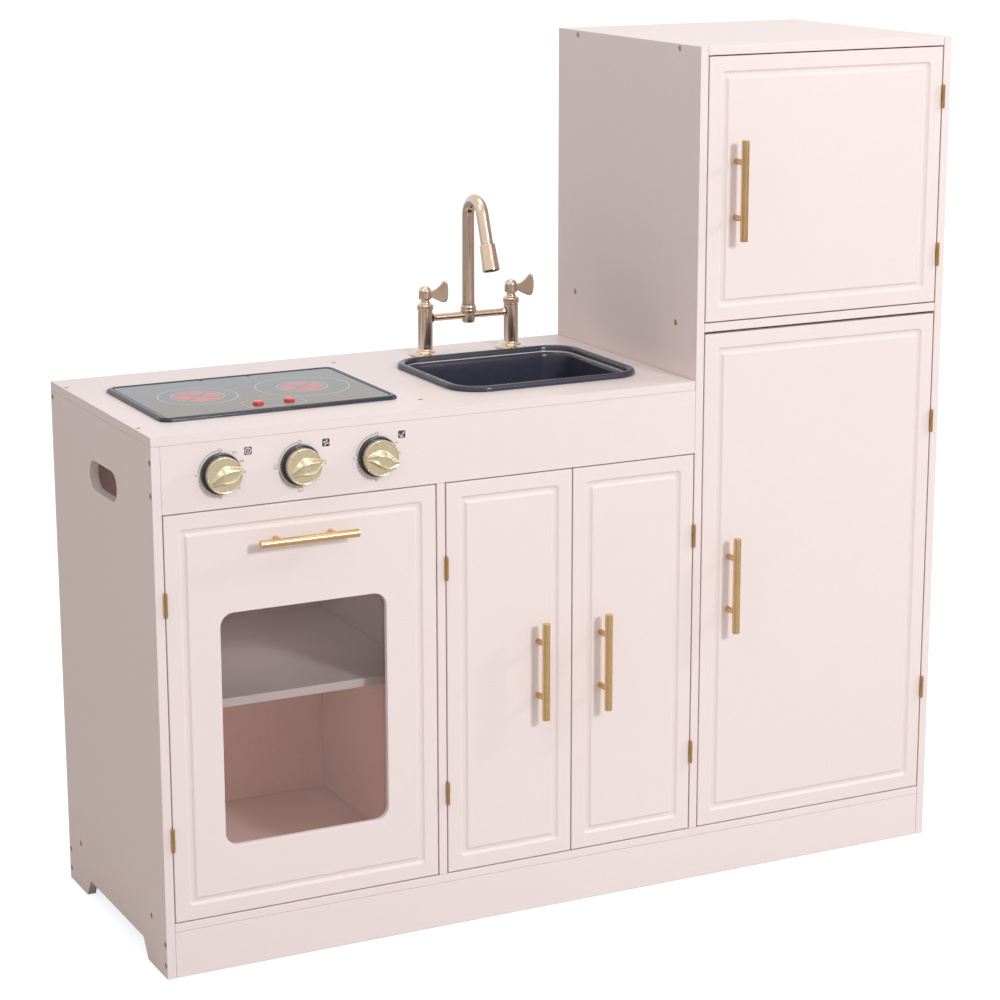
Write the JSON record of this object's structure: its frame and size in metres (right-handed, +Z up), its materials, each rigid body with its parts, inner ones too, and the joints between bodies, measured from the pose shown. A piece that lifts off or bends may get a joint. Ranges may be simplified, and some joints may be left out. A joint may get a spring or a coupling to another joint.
{
  "type": "toy kitchen",
  "caption": "Painted wooden play kitchen with oven, hob, sink and tap beside a tall fridge and freezer; doors, knobs, levers and buttons move.",
  "frame": {"origin": "middle of the bounding box, on the floor", "axes": "+X along the front from oven to fridge, +Y from the doors to the back, +Z up"},
  "size_m": [1, 0.364, 0.988],
  "materials": {
    "painted_board": "pale blush satin paint on board",
    "back_board": "thin painted hardboard",
    "handle_metal": "gold anodised, brushed",
    "hinge_brass": "bright brass plate",
    "knob_plastic": "pale gold metallised face over a dark skirt",
    "tap_plastic": "champagne gold metallised",
    "black_plastic": "glossy near-black",
    "hob_plate": "glossy grey-brown with printed rings",
    "button_plastic": "glossy red",
    "clear_acrylic": "clear acrylic sheet"
  },
  "bodies": {
    "cabinet": {"left_side_panel": "painted_board", "divider_panel": "painted_board", "fridge_left_panel": "painted_board", "fridge_right_panel": "painted_board", "base_panel": "painted_board", "front_plinth": "painted_board", "rear_plinth": "painted_board", "freezer_floor": "painted_board", "fridge_top_panel": "painted_board", "oven_shelf": "painted_board", "worktop": "painted_board", "control_panel": "painted_board", "cabinet_back": "back_board", "fridge_back": "back_board", "hob_tray": "black_plastic", "hob_plate": "hob_plate", "hob_module": "black_plastic", "sink_basin": "black_plastic", "tap_column_left": "tap_plastic", "tap_column_right": "tap_plastic", "tap_bridge": "tap_plastic", "oven_hinge_lower_frame": "hinge_brass", "oven_hinge_upper_frame": "hinge_brass", "left_cupboard_hinge_lower_frame": "hinge_brass", "left_cupboard_hinge_upper_frame": "hinge_brass", "right_cupboard_hinge_lower_frame": "hinge_brass", "right_cupboard_hinge_upper_frame": "hinge_brass", "fridge_hinge_lower_frame": "hinge_brass", "fridge_hinge_upper_frame": "hinge_brass", "freezer_hinge_lower_frame": "hinge_brass", "freezer_hinge_upper_frame": "hinge_brass"},
    "oven_door_body": {"oven_door": "painted_board", "oven_handle": "handle_metal", "oven_window": "clear_acrylic", "oven_hinge_lower_door": "hinge_brass", "oven_hinge_upper_door": "hinge_brass"},
    "left_cupboard_door_body": {"left_cupboard_door": "painted_board", "left_cupboard_handle": "handle_metal", "left_cupboard_hinge_lower_door": "hinge_brass", "left_cupboard_hinge_upper_door": "hinge_brass"},
    "right_cupboard_door_body": {"right_cupboard_door": "painted_board", "right_cupboard_handle": "handle_metal", "right_cupboard_hinge_lower_door": "hinge_brass", "right_cupboard_hinge_upper_door": "hinge_brass"},
    "fridge_door_body": {"fridge_door": "painted_board", "fridge_handle": "handle_metal", "fridge_hinge_lower_door": "hinge_brass", "fridge_hinge_upper_door": "hinge_brass"},
    "freezer_door_body": {"freezer_door": "painted_board", "freezer_handle": "handle_metal", "freezer_hinge_lower_door": "hinge_brass", "freezer_hinge_upper_door": "hinge_brass"},
    "knob_left_body": {"knob_left": "knob_plastic"},
    "knob_middle_body": {"knob_middle": "knob_plastic"},
    "knob_right_body": {"knob_right": "knob_plastic"},
    "tap_lever_left_body": {"tap_lever_left": "tap_plastic"},
    "tap_lever_right_body": {"tap_lever_right": "tap_plastic"},
    "spout_body": {"tap_spout": "tap_plastic"},
    "hob_button_left_body": {"hob_button_left": "button_plastic"},
    "hob_button_right_body": {"hob_button_right": "button_plastic"}
  },
  "joints": [
    {"name": "oven_door_hinge", "type": "hinge", "parent": "cabinet", "child": "oven_door_body", "pos_m": [-0.48925, -0.1607, 0.29325], "axis": [0, 0, -1], "range_deg": [0, 110]},
    {"name": "left_cupboard_door_hinge", "type": "hinge", "parent": "cabinet", "child": "left_cupboard_door_body", "pos_m": [-0.15925, -0.1607, 0.29325], "axis": [0, 0, -1], "range_deg": [0, 110]},
    {"name": "right_cupboard_door_hinge", "type": "hinge", "parent": "cabinet", "child": "right_cupboard_door_body", "pos_m": [0.15925, -0.1607, 0.29325], "axis": [0, 0, 1], "range_deg": [0, 110]},
    {"name": "fridge_door_hinge", "type": "hinge", "parent": "cabinet", "child": "fridge_door_body", "pos_m": [0.48925, -0.1607, 0.36275], "axis": [0, 0, 1], "range_deg": [0, 110]},
    {"name": "freezer_door_hinge", "type": "hinge", "parent": "cabinet", "child": "freezer_door_body", "pos_m": [0.48925, -0.1607, 0.826], "axis": [0, 0, 1], "range_deg": [0, 110]},
    {"name": "knob_left_turn", "type": "hinge", "parent": "cabinet", "child": "knob_left_body", "pos_m": [-0.4232, -0.158, 0.562], "axis": [0, 1, 0], "continuous": true},
    {"name": "knob_middle_turn", "type": "hinge", "parent": "cabinet", "child": "knob_middle_body", "pos_m": [-0.332, -0.158, 0.562], "axis": [0, 1, 0], "continuous": true},
    {"name": "knob_right_turn", "type": "hinge", "parent": "cabinet", "child": "knob_right_body", "pos_m": [-0.2417, -0.158, 0.562], "axis": [0, 1, 0], "continuous": true},
    {"name": "tap_lever_left_turn", "type": "hinge", "parent": "cabinet", "child": "tap_lever_left_body", "pos_m": [-0.0467, 0.132, 0.687], "axis": [0, 0, -1], "range_deg": [0, 90]},
    {"name": "tap_lever_right_turn", "type": "hinge", "parent": "cabinet", "child": "tap_lever_right_body", "pos_m": [0.0687, 0.132, 0.687], "axis": [0, 0, -1], "range_deg": [0, 90]},
    {"name": "spout_swivel", "type": "hinge", "parent": "cabinet", "child": "spout_body", "pos_m": [0.011, 0.132, 0.7], "axis": [0, 0, 1], "range_deg": [-90, 90]},
    {"name": "hob_button_left_press", "type": "slide", "parent": "cabinet", "child": "hob_button_left_body", "axis": [0, 0, -1], "range_m": [0, 0.002], "stiffness_N_per_m": 150},
    {"name": "hob_button_right_press", "type": "slide", "parent": "cabinet", "child": "hob_button_right_body", "axis": [0, 0, -1], "range_m": [0, 0.002], "stiffness_N_per_m": 150}
  ]
}
